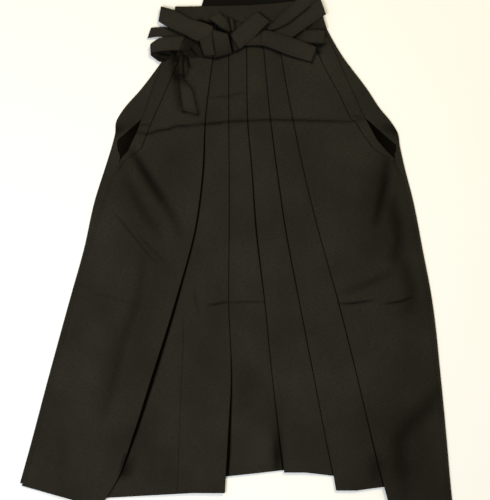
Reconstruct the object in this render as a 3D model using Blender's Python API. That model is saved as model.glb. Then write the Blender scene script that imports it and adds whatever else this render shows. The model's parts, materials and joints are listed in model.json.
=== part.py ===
"""Hakama trousers laid flat, front up: pleated legs, back board, front band and a flat bow of ties."""

import math

import bmesh
import bpy
import numpy as np

# Lengths in the tables are in millimetres. Across runs from the garment's middle to the right, drop runs
# down the garment from the top edge of the front band, and height is up from the table.
MM = 0.001
WAIST_TO_MIDDLE = 463.0

CLOTH = 1.2
GAP = 0.3
LAYER = CLOTH + GAP
SEAM = 0.8
TIE = 1.6
BAND = 2.6
BAND_WIDTH = 36.0
BAND_HEIGHT = 4.8
BOARD = 3.0
BOARD_BEVEL = 0.8

PLEAT_SHARE = 0.38
PLEAT_MOST = 60.0
LAST_TUCK_SHARE = 0.8
RISE = 4.0
FOLD_STEPS = 3
LAP = 20.0
LAP_CLEAR = 22.0
LAP_RAMP = 14.0
LAP_UNDER = 30.0
SEAT_FLAT = 40.0
SEAT_END = 100.0

# Sections run straight across the garment between these two drops, and fan out to the band and to the hems.
FAN_TOP = 98.0
FAN_HEM = 790.0
SECTIONS = (
    40, 98, 140, 180, 212, 230, 250, 268, 290, 305, 320, 345, 380, 430, 500, 590, 690, 790, 880, 960,
)
OUTER_STEPS = 7
INNER_STEPS = 3
TUCK_STEPS = 2
LAST_STEPS = 4
BACK_STEPS = 6

# The outer folds of the legs, where the back turns over to the front.
OUTLINE = [
    {"drop": 3, "left": -66, "right": 160},
    {"drop": 98, "left": -139, "right": 212},
    {"drop": 168, "left": -192, "right": 264},
    {"drop": 207, "left": -226, "right": 290},
    {"drop": 231, "left": -240, "right": 310},
    {"drop": 254, "left": -242, "right": 324},
    {"drop": 278, "left": -248, "right": 328},
    {"drop": 320, "left": -261, "right": 337},
    {"drop": 386, "left": -282, "right": 354},
    {"drop": 488, "left": -305, "right": 374},
    {"drop": 577, "left": -330, "right": 391},
    {"drop": 752, "left": -378, "right": 411},
    {"drop": 880, "left": -412, "right": 423},
    {"drop": 960, "left": -434, "right": 430},
    {"drop": 998, "left": -444, "right": 434},
]

# The five pressed folds of the front, from left to right. Lift is how far the first one stands open.
PLEATS = [
    {"drop": 40, "first": -39, "second": -14, "third": 21, "fourth": 52, "fifth": 84, "lift": 0},
    {"drop": 98, "first": -46, "second": -15, "third": 22, "fourth": 57, "fifth": 91, "lift": 0},
    {"drop": 230, "first": -62, "second": -15, "third": 24, "fourth": 70, "fifth": 115, "lift": 0},
    {"drop": 330, "first": -67, "second": -14, "third": 33, "fourth": 83, "fifth": 136, "lift": 0.5},
    {"drop": 440, "first": -81, "second": -14, "third": 41, "fourth": 99, "fifth": 163, "lift": 1},
    {"drop": 590, "first": -121, "second": -15, "third": 58, "fourth": 127, "fifth": 205, "lift": 4},
    {"drop": 750, "first": -171, "second": -10, "third": 74, "fourth": 158, "fifth": 245, "lift": 5},
    {"drop": 860, "first": -206, "second": -16, "third": 87, "fourth": 179, "fifth": 271, "lift": 5},
    {"drop": 950, "first": -239, "second": -21, "third": 98, "fourth": 197, "fifth": 293, "lift": 4},
    {"drop": 1014, "first": -280, "second": -24, "third": 102, "fourth": 207, "fifth": 311, "lift": 3},
]

# The front's outer edges: free down to the foot of each side slit, then sewn to the back.
# Level counts cloth layers.
FRONT_SIDES = [
    {"drop": 40, "left": -122, "right": 173, "level": 2},
    {"drop": 98, "left": -143, "right": 201, "level": 2},
    {"drop": 140, "left": -158, "right": 219, "level": 2},
    {"drop": 180, "left": -173, "right": 238, "level": 2},
    {"drop": 212, "left": -184, "right": 251, "level": 2},
    {"drop": 230, "left": -191, "right": 262, "level": 2},
    {"drop": 250, "left": -198, "right": 273, "level": 1.6},
    {"drop": 268, "left": -207, "right": 283, "level": 1.2},
    {"drop": 290, "left": -217, "right": 302, "level": 1},
    {"drop": 305, "left": -231, "right": 318, "level": 1},
    {"drop": 320, "left": -235, "right": 324, "level": 1},
    {"drop": 345, "left": -251, "right": 335, "level": 1},
    {"drop": 386, "left": -265, "right": 347, "level": 1},
    {"drop": 430, "left": -280, "right": 357, "level": 1},
    {"drop": 500, "left": -303, "right": 371, "level": 1},
    {"drop": 577, "left": -325, "right": 386, "level": 1},
    {"drop": 752, "left": -373, "right": 406, "level": 1},
    {"drop": 880, "left": -407, "right": 418, "level": 1},
    {"drop": 960, "left": -429, "right": 425, "level": 1},
    {"drop": 998, "left": -439, "right": 429, "level": 1},
]

# The inner edge of the cloth that the back turns over: under the front, along the slit, then the side seam.
BACK_TURNS = [
    {"drop": 3, "left": -50, "right": 144},
    {"drop": 98, "left": -112, "right": 176},
    {"drop": 140, "left": -138, "right": 200},
    {"drop": 180, "left": -158, "right": 222},
    {"drop": 212, "left": -174, "right": 240},
    {"drop": 230, "left": -194, "right": 267},
    {"drop": 250, "left": -217, "right": 289},
    {"drop": 268, "left": -238, "right": 309},
    {"drop": 278, "left": -238, "right": 321},
    {"drop": 305, "left": -235, "right": 320},
]
SEAM_FROM = 320.0
SEAM_BLEND = 290.0
BACK_SIDE = 431.0

# How far down each panel's hem comes, at its two ends.
HEMS = {
    "left_side": 960.0,
    "first_fold": 1006.0,
    "first_tuck": 984.0,
    "second_fold": 974.0,
    "second_tuck": 945.0,
    "middle": 941.0,
    "third_fold": 933.0,
    "fourth_tuck": 940.0,
    "fourth_fold": 969.0,
    "fifth_tuck": 962.0,
    "fifth_fold": 1014.0,
    "right_side": 998.0,
}
BACK_HEM = [
    {"across": -431, "drop": 955},
    {"across": -250, "drop": 962},
    {"across": -120, "drop": 950},
    {"across": 0, "drop": 925},
    {"across": 120, "drop": 920},
    {"across": 220, "drop": 940},
    {"across": 330, "drop": 968},
    {"across": 431, "drop": 992},
]

# The top edge of the front band, which rises to the right.
BAND_TOP = [
    {"across": -122, "drop": 1},
    {"across": -30, "drop": 0},
    {"across": 38, "drop": -2},
    {"across": 119, "drop": -9.5},
    {"across": 165, "drop": -15},
]

BOARD_EDGES = [
    {"drop": -88, "middle": 52, "half": 92},
    {"drop": -60, "middle": 52, "half": 102},
    {"drop": -28, "middle": 52, "half": 113},
    {"drop": 3, "middle": 52, "half": 122},
]

# Soft folds that the legs keep, each a low rounded ridge from one place to another. A ridge starts at the
# first share of its height and is full in its middle.
TAPER_START = 0.12
TAPER_SPAN = 0.76
SWELLS = [
    {"across": (-222, -150), "drop": (318, 500), "height": 4.0, "reach": 22},
    {"across": (-180, -118), "drop": (300, 430), "height": 3.0, "reach": 18},
    {"across": (-245, -165), "drop": (455, 530), "height": 2.5, "reach": 14},
    {"across": (-210, -262), "drop": (560, 840), "height": 4.0, "reach": 26},
    {"across": (290, 268), "drop": (330, 470), "height": 4.0, "reach": 22},
    {"across": (352, 330), "drop": (470, 620), "height": 3.0, "reach": 20},
    {"across": (395, 322), "drop": (730, 900), "height": 4.5, "reach": 26},
]

# Each stretch of tie that shows. Rows along it give its two edges as across, drop and height.
TIES = {
    "tie_left_end": [
        ((-170, 43, 3.4), (-177, 64, 3.4)),
        ((-139, 43, 6.2), (-146, 62, 6.2)),
        ((-92, 54, 8.4), (-98, 74, 8.4)),
    ],
    "tie_left_loop": [
        ((-78, 70, 10.6), (-98, 94, 10.6)),
        ((-105, 61, 10.6), (-110, 89, 10.6)),
        ((-148, 64, 10.4), (-148, 91, 10.2)),
        ((-166, 73, 9.2), (-166, 94, 9.0)),
        ((-171, 78, 6.8), (-170, 98, 6.6)),
        ((-166, 82, 4.4), (-164, 104, 4.2)),
        ((-148, 88, 5.6), (-150, 112, 5.6)),
        ((-130, 88, 6.6), (-132, 105, 6.6)),
    ],
    "tie_left_over": [
        ((-150, 1, 7.0), (-155, 31, 5.6)),
        ((-121, 10, 10.4), (-136, 43, 10.4)),
        ((-92, 27, 12.6), (-105, 57, 12.8)),
        ((-66, 34, 12.6), (-77, 71, 12.8)),
        ((-46, 42, 12.2), (-50, 64, 12.4)),
    ],
    "tie_shaded_fold": [
        ((-104, 80, 8.4), (-90, 104, 7.6)),
        ((-74, 72, 8.6), (-62, 101, 8.2)),
    ],
    "tie_hanging_end": [
        ((-112, 90, 6.7), (-96, 104, 6.7)),
        ((-115, 116, 6.7), (-95, 120, 8.4)),
        ((-115, 133, 7.0), (-97, 137, 9.4)),
        ((-114, 147, 9.0), (-103, 149, 7.4)),
        ((-111, 168, 7.2), (-89, 166, 7.4)),
        ((-108, 188, 6.9), (-83, 190, 7.6)),
        ((-104, 209, 7.0), (-77, 215, 7.7)),
    ],
    "tie_knot_under": [
        ((-46, 62, 8.4), (-42, 92, 8.4)),
        ((-14, 56, 8.8), (-10, 92, 8.6)),
        ((14, 54, 8.6), (8, 86, 8.4)),
    ],
    "tie_knot_gather": [
        ((-28, 19, 8.6), (-18, 52, 8.8)),
        ((-22, 21, 10.0), (-14, 52, 9.8)),
        ((-16, 22, 8.6), (-10, 52, 8.8)),
        ((-10, 24, 10.0), (-6, 51, 9.8)),
        ((-4, 27, 8.6), (-1, 50, 8.8)),
        ((6, 32, 9.6), (4, 48, 9.4)),
        ((14, 34, 8.6), (12, 46, 8.6)),
    ],
    "tie_knot_side": [
        ((-73, 70, 14.6), (-47, 55, 14.6)),
        ((-69, 84, 14.8), (-45, 78, 14.8)),
        ((-64, 98, 14.2), (-41, 96, 14.2)),
        ((-63, 101, 12.4), (-40, 99, 12.4)),
    ],
    "tie_knot_wrap": [
        ((-47, 49, 15.0), (-16, 58, 15.0)),
        ((-47, 56, 16.6), (-15, 64, 16.6)),
        ((-44, 78, 17.2), (-12, 77, 17.2)),
        ((-40, 100, 16.4), (-9, 91, 16.4)),
        ((-39, 104, 14.6), (-8, 95, 14.6)),
        ((-39, 105, 12.0), (-8, 96, 12.0)),
    ],
    "tie_upper_loop": [
        ((-11, 47, 14.0), (-14, 54, 14.0)),
        ((-18, 32, 15.0), (-31, 44, 15.0)),
        ((-30, 17, 14.6), (-52, 29, 14.4)),
        ((-33, 16, 12.0), (-55, 28, 12.0)),
        ((-32, 18, 9.6), (-52, 30, 9.6)),
        ((-32, 28, 9.4), (-44, 40, 9.4)),
    ],
    "tie_right_loop": [
        ((-11, 59, 14.4), (8, 88, 14.4)),
        ((14, 36, 14.8), (36, 64, 14.8)),
        ((37, 17, 14.4), (63, 37, 14.4)),
        ((41, 14, 12.4), (67, 34, 12.4)),
        ((37, 18, 10.2), (63, 38, 10.2)),
        ((22, 32, 10.0), (42, 56, 10.0)),
    ],
    "tie_free_end": [
        ((28, 62, 12.4), (16, 80, 12.2)),
        ((53, 50, 12.4), (51, 80, 12.0)),
        ((80, 54, 12.4), (68, 85, 11.6)),
        ((120, 67, 11.3), (108, 100, 9.8)),
        ((160, 82, 8.0), (149, 112, 7.2)),
    ],
    "tie_right_upper": [
        ((56, 37, 12.4), (58, 46, 12.4)),
        ((72, 36, 12.4), (73, 49, 12.4)),
        ((85, 22, 12.4), (104, 35, 12.4)),
        ((120, -11, 11.6), (148, 0, 11.4)),
        ((134, -26, 10.8), (170, -19, 10.4)),
    ],
    "tie_right_lower": [
        ((166, -22, 8.4), (180, 17, 7.8)),
        ((126, 12, 9.6), (142, 43, 9.4)),
        ((94, 36, 9.6), (112, 64, 9.4)),
        ((68, 54, 9.8), (84, 80, 9.6)),
    ],
    "tie_right_under": [
        ((140, 32, 6.9), (140, 46, 6.9)),
        ((174, 21, 5.4), (182, 46, 5.4)),
    ],
    "tie_right_end": [
        ((104, 54, 7.0), (104, 72, 7.0)),
        ((141, 49, 7.2), (136, 73, 7.2)),
        ((178, 48, 6.8), (176, 75, 6.6)),
    ],
}
TIE_STEPS = 3
TIE_ACROSS = 2
BAND_COLUMNS = 15
BOARD_COLUMNS = 7

LEAST_MITRE = 0.5
SHARP_ANGLE = 40.0
ROUGHNESS = 0.85

COLOURS = {
    "back": (0.016, 0.014, 0.010),
    "front": (0.022, 0.019, 0.014),
    "band": (0.022, 0.018, 0.013),
    "board": (0.010, 0.009, 0.006),
    "tie": (0.025, 0.022, 0.016),
}


def clear_scene():
    for thing in list(bpy.data.objects):
        bpy.data.objects.remove(thing, do_unlink=True)


def cloth_material(name, colour):
    material = bpy.data.materials.new(name)
    material.use_nodes = True
    shader = material.node_tree.nodes["Principled BSDF"]
    shader.inputs["Base Color"].default_value = (*colour, 1.0)
    shader.inputs["Roughness"].default_value = ROUGHNESS
    return material


def smooth_column(rows, key, column):
    """A smooth curve through one column of a table, read at any value of the key."""
    keys = np.array([row[key] for row in rows], float)
    values = np.array([row[column] for row in rows], float)
    slopes = np.gradient(values, keys)

    def read(at):
        spot = int(np.clip(np.searchsorted(keys, at) - 1, 0, len(keys) - 2))
        span = keys[spot + 1] - keys[spot]
        t = min(max((at - keys[spot]) / span, 0.0), 1.0)
        start = (2 * t**3 - 3 * t**2 + 1) * values[spot] + (t**3 - 2 * t**2 + t) * span * slopes[spot]
        end = (3 * t**2 - 2 * t**3) * values[spot + 1] + (t**3 - t**2) * span * slopes[spot + 1]
        return start + end

    return read


def straight_column(rows, key, column):
    """The same column read along straight lines, which keeps the corners of the slits."""
    keys = [row[key] for row in rows]
    values = [row[column] for row in rows]
    return lambda at: float(np.interp(at, keys, values))


FOLD_NAMES = ("first", "second", "third", "fourth", "fifth")
fold = {name: smooth_column(PLEATS, "drop", name) for name in FOLD_NAMES}
lift = smooth_column(PLEATS, "drop", "lift")
outline = {side: smooth_column(OUTLINE, "drop", side) for side in ("left", "right")}
front_side = {side: straight_column(FRONT_SIDES, "drop", side) for side in ("left", "right")}
side_level = straight_column(FRONT_SIDES, "drop", "level")
slit_turn = {side: straight_column(BACK_TURNS, "drop", side) for side in ("left", "right")}
band_top = smooth_column(BAND_TOP, "across", "drop")
back_hem = smooth_column(BACK_HEM, "across", "drop")


def ramp(value, start, end):
    """0 up to the start, 1 past the end, straight between them."""
    return float(np.clip((value - start) / (end - start), 0.0, 1.0))


def seat(across):
    """How much higher the front lies where the two backs lap in the middle."""
    return LAYER * (1.0 - ramp(abs(across), SEAT_FLAT, SEAT_END))


def swell_height(across, drop):
    """The soft folds' height at one place on the outer panels."""
    total = 0.0
    for swell in SWELLS:
        start = np.array((swell["across"][0], swell["drop"][0]), float)
        run = np.array((swell["across"][1], swell["drop"][1]), float) - start
        place = np.array((across, drop)) - start
        along = float(np.clip(place @ run / (run @ run), 0.0, 1.0))
        away = float(np.linalg.norm(place - along * run)) / swell["reach"]
        taper = math.sin(math.pi * (TAPER_START + TAPER_SPAN * along))
        total += swell["height"] * taper * math.exp(-(away**2))
    return total


def settle(nominal, top, hem):
    """The drop of a point whose section starts at its own top and ends at its own hem."""
    if nominal < FAN_TOP:
        share = (nominal - SECTIONS[0]) / (FAN_TOP - SECTIONS[0])
        return top + share * (FAN_TOP - top)
    if nominal > FAN_HEM:
        share = (nominal - FAN_HEM) / (SECTIONS[-1] - FAN_HEM)
        return FAN_HEM + share * (hem - FAN_HEM)
    return float(nominal)


def knot(nominal, column, level, hem, offset=0.0, raised=0.0):
    """One place across a front section: where a column of a table stands at this section's drop."""
    top = band_top(column(SECTIONS[0]) + offset) + BAND_WIDTH + GAP
    drop = settle(nominal, top, hem)
    return np.array((column(drop) + offset, drop, CLOTH / 2 + LAYER * level + raised))


def straight_run(start, end, count):
    """Points from start to just before end."""
    return [start + (end - start) * step / count for step in range(count)]


def turn(start, end, way):
    """Points round a fold, from the upper layer to the lower. Way is +1 where it bulges to the right."""
    middle = (start + end) / 2
    half = (start[2] - end[2]) / 2
    points = []
    for step in range(FOLD_STEPS):
        angle = math.pi * step / FOLD_STEPS
        points.append(middle + np.array((way * abs(half) * math.sin(angle), 0.0, half * math.cos(angle))))
    return points


def tuck_depth(nominal, outer, inner):
    """How far a pleat's hidden cloth runs back under it at this section."""
    return min(PLEAT_SHARE * abs(outer(nominal) - inner(nominal)), PLEAT_MOST)


def pleat(nominal, top_fold, depth, way, hems, raised=0.0):
    """From the flat part of a pleat, round its fold, back under it and round its hidden fold."""
    bulge = way * (LAYER + CLOTH) / 2
    over_start = knot(nominal, top_fold, 3, hems[0], -way * (depth + RISE))
    over_end = knot(nominal, top_fold, 3, hems[0], -bulge, raised)
    under_start = knot(nominal, top_fold, 2, hems[0], -bulge, raised)
    under_end = knot(nominal, top_fold, 2, hems[1], -way * depth + bulge)
    hidden_start = knot(nominal, top_fold, 1, hems[1], -way * depth + bulge)
    points = straight_run(over_start, over_end, TUCK_STEPS)
    points += turn(over_end, under_start, way)
    points += straight_run(under_start, under_end, TUCK_STEPS)
    points += turn(under_end, hidden_start, -way)
    return points, hidden_start


def outer_panel(nominal, side, hem, inner_end):
    """The wide panel beside the leg's side, from its edge to where the first pleat begins."""
    edge = knot(nominal, front_side[side], side_level(nominal), hem)
    points = straight_run(edge, inner_end, OUTER_STEPS)
    for step, point in enumerate(points):
        fade = math.sin(math.pi * step / OUTER_STEPS) ** 0.5
        point[2] += fade * swell_height(point[0], point[1])
    return points


def over_backs(points):
    """The same points, lifted where the two backs lap beneath them."""
    return [point + np.array((0.0, 0.0, seat(point[0]))) for point in points]


def front_left_section(nominal):
    depth_one = tuck_depth(nominal, front_side["left"], fold["first"])
    depth_two = tuck_depth(nominal, fold["first"], fold["second"])
    first_hems = (HEMS["first_fold"], HEMS["first_tuck"])
    second_hems = (HEMS["second_fold"], HEMS["second_tuck"])
    first, hidden_one = pleat(nominal, fold["first"], depth_one, 1, first_hems, lift(nominal))
    second, hidden_two = pleat(nominal, fold["second"], depth_two, 1, second_hems)
    points = outer_panel(nominal, "left", HEMS["left_side"], first[0])
    points += first
    at_fold = knot(nominal, fold["first"], 1, HEMS["first_tuck"], RISE / 2)
    points += straight_run(hidden_one, at_fold, TUCK_STEPS)
    points += straight_run(at_fold, second[0], INNER_STEPS)
    points += second
    at_fold = knot(nominal, fold["second"], 1, HEMS["middle"], RISE / 2)
    points += straight_run(hidden_two, at_fold, TUCK_STEPS)
    depth_three = tuck_depth(nominal, fold["fourth"], fold["third"])
    end = knot(nominal, fold["third"], 1, HEMS["third_fold"] - RISE, LAST_TUCK_SHARE * depth_three)
    points += straight_run(at_fold, end, LAST_STEPS) + [end]
    return over_backs(points)


def front_right_section(nominal):
    depth_five = tuck_depth(nominal, front_side["right"], fold["fifth"])
    depth_four = tuck_depth(nominal, fold["fifth"], fold["fourth"])
    depth_three = tuck_depth(nominal, fold["fourth"], fold["third"])
    fifth_hems = (HEMS["fifth_fold"], HEMS["fifth_tuck"])
    fourth_hems = (HEMS["fourth_fold"], HEMS["fourth_tuck"])
    fifth, hidden_five = pleat(nominal, fold["fifth"], depth_five, -1, fifth_hems)
    fourth, hidden_four = pleat(nominal, fold["fourth"], depth_four, -1, fourth_hems)
    points = outer_panel(nominal, "right", HEMS["right_side"], fifth[0])
    points += fifth
    at_fold = knot(nominal, fold["fifth"], 1, HEMS["fifth_tuck"], -RISE / 2)
    points += straight_run(hidden_five, at_fold, TUCK_STEPS)
    points += straight_run(at_fold, fourth[0], INNER_STEPS)
    points += fourth
    at_fold = knot(nominal, fold["fourth"], 1, HEMS["fourth_tuck"], -RISE / 2)
    points += straight_run(hidden_four, at_fold, TUCK_STEPS)
    bulge = (LAYER + CLOTH) / 2
    flat_start = knot(nominal, fold["third"], 3, HEMS["third_fold"], depth_three + RISE)
    over_end = knot(nominal, fold["third"], 3, HEMS["third_fold"], bulge)
    under_start = knot(nominal, fold["third"], 2, HEMS["third_fold"], bulge)
    under_end = knot(nominal, fold["third"], 2, HEMS["third_fold"] - RISE, depth_three)
    points += straight_run(at_fold, flat_start, INNER_STEPS)
    points += straight_run(flat_start, over_end, TUCK_STEPS)
    points += turn(over_end, under_start, -1)
    points += straight_run(under_start, under_end, TUCK_STEPS) + [under_end]
    return over_backs(points)


def turn_edge(side, drop):
    """The inner edge of the back's turned cloth: free beside the slit, sewn to the front below it."""
    way = 1 if side == "left" else -1
    sewn = front_side[side](drop) - way * GAP
    free = slit_turn[side](drop)
    return free + (sewn - free) * ramp(drop, SEAM_BLEND, SEAM_FROM)


def back_section(nominal, side):
    """From the back's lapped middle edge out to the side fold, round it and over to the side seam."""
    way = -1 if side == "left" else 1
    bulge = (LAYER + CLOTH) / 2
    start_drop = BOARD_EDGES[-1]["drop"] + SEAM

    def place(across, level):
        drop = settle(nominal, start_drop, back_hem(across))
        lap = LAYER * (1.0 - ramp(across, LAP_CLEAR, LAP_CLEAR + LAP_RAMP)) if side == "right" else 0.0
        return np.array((across, drop, CLOTH / 2 + LAYER * level + lap))

    side_drop = settle(nominal, start_drop, back_hem(way * BACK_SIDE))
    side_x = outline[side](side_drop) - way * bulge
    edge_x = turn_edge(side, side_drop)
    if side == "left":
        stops = [LAP, LAP - LAP_UNDER]
    else:
        stops = [-LAP, LAP_CLEAR, LAP_CLEAR + LAP_RAMP]
    points = [place(stop, 0) for stop in stops[:-1]]
    inner = place(stops[-1], 0)
    outer = place(side_x, 0)
    points += straight_run(inner, outer, BACK_STEPS)
    for point in points:
        point[1] = settle(nominal, start_drop, back_hem(point[0]))
    upper = place(side_x, 1)
    points += turn(outer, upper, way)
    end = place(edge_x, 1)
    end[1] = upper[1]
    points += straight_run(upper, end, 2) + [end]
    return points


def wall_object(name, sections, thickness, material):
    """One closed wall of even thickness about a grid of middle points, a row of points for each section."""
    middle = np.array(sections, float)
    rows, columns = middle.shape[:2]
    steps = np.diff(middle, axis=1)
    steps /= np.linalg.norm(steps, axis=2, keepdims=True)
    before = np.concatenate([steps[:, :1], steps], axis=1)
    after = np.concatenate([steps, steps[:, -1:]], axis=1)
    across = before + after
    across /= np.linalg.norm(across, axis=2, keepdims=True)
    mitre = np.sum(across * after, axis=2, keepdims=True)
    along = np.gradient(middle, axis=0)
    normal = np.cross(across, along)
    normal /= np.linalg.norm(normal, axis=2, keepdims=True)
    offset = normal * thickness / 2 / np.maximum(mitre, LEAST_MITRE)

    shape = bmesh.new()
    bmesh.ops.create_grid(shape, x_segments=columns - 1, y_segments=rows - 1, size=1.0)
    copied = bmesh.ops.extrude_face_region(shape, geom=shape.faces[:], use_keep_orig=True)
    second = {item for item in copied["geom"] if isinstance(item, bmesh.types.BMVert)}
    for vertex in shape.verts:
        column = round((vertex.co.x + 1) / 2 * (columns - 1))
        row = round((vertex.co.y + 1) / 2 * (rows - 1))
        way = 1 if vertex in second else -1
        x, drop, height = middle[row, column] + way * offset[row, column]
        vertex.co = (x * MM, (WAIST_TO_MIDDLE - drop) * MM, height * MM)
    bmesh.ops.recalc_face_normals(shape, faces=shape.faces[:])
    if shape.calc_volume(signed=True) < 0:
        bmesh.ops.reverse_faces(shape, faces=shape.faces[:])
    mesh = bpy.data.meshes.new(name)
    shape.to_mesh(mesh)
    shape.free()
    mesh.materials.append(material)
    mesh.shade_smooth()
    mesh.set_sharp_from_angle(angle=math.radians(SHARP_ANGLE))
    thing = bpy.data.objects.new(name, mesh)
    bpy.context.scene.collection.objects.link(thing)
    return thing


def make_backs():
    material = cloth_material("back_cloth", COLOURS["back"])
    for side in ("left", "right"):
        sections = [back_section(nominal, side) for nominal in SECTIONS]
        wall_object(f"back_{side}", sections, CLOTH, material)


def make_fronts():
    material = cloth_material("front_cloth", COLOURS["front"])
    wall_object("front_left", [front_left_section(nominal) for nominal in SECTIONS], CLOTH, material)
    wall_object("front_right", [front_right_section(nominal) for nominal in SECTIONS], CLOTH, material)


def make_band():
    """The flat band that the pleats are sewn into, along the top of the front."""
    material = cloth_material("band_cloth", COLOURS["band"])
    stops = np.linspace(BAND_TOP[0]["across"], BAND_TOP[-1]["across"], BAND_COLUMNS)
    sections = []
    for share in (0.0, 0.5, 1.0):
        sections.append([(x, band_top(x) + share * BAND_WIDTH, BAND_HEIGHT + seat(x)) for x in stops])
    wall_object("front_band", sections, BAND, material)


def make_board():
    """The stiff trapezoid board at the small of the back, which stands above the band."""
    material = cloth_material("board_cloth", COLOURS["board"])
    sections = []
    for row in BOARD_EDGES:
        stops = np.linspace(row["middle"] - row["half"], row["middle"] + row["half"], BOARD_COLUMNS)
        sections.append([(x, row["drop"], BOARD / 2) for x in stops])
    board = wall_object("back_board", sections, BOARD, material)
    bevel = board.modifiers.new("rounded_edges", "BEVEL")
    bevel.width = BOARD_BEVEL * MM
    bevel.segments = 2
    bevel.limit_method = "ANGLE"


def smooth_rows(rows, steps):
    """More sections along a tie, on a smooth curve through its own."""
    points = np.array(rows, float).reshape(len(rows), 6)
    curves = []
    for part in range(6):
        column = [{"at": index, "value": value} for index, value in enumerate(points[:, part])]
        curves.append(smooth_column(column, "at", "value"))
    finer = []
    for step in range((len(rows) - 1) * steps + 1):
        values = [curve(step / steps) for curve in curves]
        finer.append((np.array(values[:3]), np.array(values[3:])))
    return finer


def make_ties():
    material = cloth_material("tie_cloth", COLOURS["tie"])
    for name, rows in TIES.items():
        sections = []
        for upper, lower in smooth_rows(rows, TIE_STEPS):
            sections.append(straight_run(upper, lower, TIE_ACROSS) + [lower])
        wall_object(name, sections, TIE, material)


def stand_on_origin():
    """Centres the whole garment over the origin, with its underside on the table."""
    meshes = [thing.data for thing in bpy.context.scene.collection.objects]
    corners = np.array([vertex.co for mesh in meshes for vertex in mesh.vertices])
    low, high = corners.min(axis=0), corners.max(axis=0)
    shift = np.array(((low[0] + high[0]) / 2, (low[1] + high[1]) / 2, low[2]))
    for mesh in meshes:
        for vertex in mesh.vertices:
            vertex.co = np.array(vertex.co) - shift


def main():
    clear_scene()
    make_backs()
    make_fronts()
    make_band()
    make_board()
    make_ties()
    stand_on_origin()


main()
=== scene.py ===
# Hakama trousers laid flat, front up: the cloth, its pressed pleats and creases, and the flat bow of ties.
import json
import math

import bmesh
import bpy
import numpy as np
from mathutils import Matrix

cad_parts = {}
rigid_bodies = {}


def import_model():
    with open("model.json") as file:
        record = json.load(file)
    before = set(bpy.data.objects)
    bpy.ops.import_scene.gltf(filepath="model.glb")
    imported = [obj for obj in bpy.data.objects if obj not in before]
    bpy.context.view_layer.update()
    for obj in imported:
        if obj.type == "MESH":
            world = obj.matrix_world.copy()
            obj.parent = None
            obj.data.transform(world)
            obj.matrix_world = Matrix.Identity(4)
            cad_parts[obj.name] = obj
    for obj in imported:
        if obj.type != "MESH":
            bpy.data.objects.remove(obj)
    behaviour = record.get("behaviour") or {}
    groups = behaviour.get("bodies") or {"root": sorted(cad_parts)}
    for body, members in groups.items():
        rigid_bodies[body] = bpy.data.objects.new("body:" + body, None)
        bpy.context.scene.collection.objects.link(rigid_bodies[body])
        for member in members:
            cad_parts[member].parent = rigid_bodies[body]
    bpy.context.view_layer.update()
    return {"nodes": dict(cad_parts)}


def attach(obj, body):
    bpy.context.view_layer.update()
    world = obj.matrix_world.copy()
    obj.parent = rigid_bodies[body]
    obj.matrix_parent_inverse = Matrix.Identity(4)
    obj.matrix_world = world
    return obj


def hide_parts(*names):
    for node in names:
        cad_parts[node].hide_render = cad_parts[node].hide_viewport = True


for startupThing in list(bpy.data.objects):
    bpy.data.objects.remove(startupThing, do_unlink=True)

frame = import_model()
print("frame loaded:", len(frame["nodes"]), "nodes")

# Lengths are in millimetres until a mesh is written. Across runs from the garment's middle to the right,
# drop runs down from the top edge of the front band, and height is up from the table.
garment = {
    "mm": 0.001,
    "waistToMiddle": 463.0,
    "cloth": 1.2,
    "layer": 1.5,
    "gap": 0.3,
    "fanTop": 98.0,
    "fanHem": 790.0,
    "topDrop": 40.0,
    "endDrop": 960.0,
    "seatFlat": 40.0,
    "seatEnd": 100.0,
}
foldBulge = (garment["layer"] + garment["cloth"]) / 2


def rowsOf(names, rows):
    # A table as one dictionary for each row, with its columns named once.
    return [dict(zip(names.split(), row)) for row in rows]


# Rows run close together where a storage crease or a thin fold has to be caught.
rowBands = rowsOf("from to step", [
    (40, 122, 2.4),
    (122, 190, 2.6),
    (190, 218, 6.0),
    (218, 262, 2.0),
    (262, 330, 4.0),
    (330, 425, 6.0),
    (425, 515, 4.0),
    (515, 550, 6.0),
    (550, 612, 2.2),
    (612, 960, 7.0),
])

# The outer folds of the legs, where the back turns over to the front.
outlineRows = rowsOf("drop left right", [
    (3, -66, 160),
    (98, -139, 212),
    (168, -192, 264),
    (207, -226, 290),
    (231, -240, 310),
    (254, -242, 324),
    (278, -248, 328),
    (320, -261, 337),
    (386, -282, 354),
    (488, -305, 374),
    (577, -330, 391),
    (752, -378, 411),
    (880, -412, 423),
    (960, -434, 430),
    (998, -444, 434),
])

# The five pressed folds of the front, from left to right, and how far the first one stands open.
pleatRows = rowsOf("drop first second third fourth fifth lift", [
    (40, -39, -14, 21, 52, 84, 0),
    (98, -46, -15, 22, 57, 91, 0),
    (230, -62, -15, 24, 70, 115, 0),
    (330, -67, -14, 33, 83, 136, 0.5),
    (440, -81, -14, 41, 99, 163, 1),
    (590, -121, -15, 58, 127, 205, 4),
    (750, -171, -10, 74, 158, 245, 5),
    (860, -206, -16, 87, 179, 271, 5),
    (950, -239, -21, 98, 197, 293, 4),
    (1014, -280, -24, 102, 207, 311, 3),
])

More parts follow.
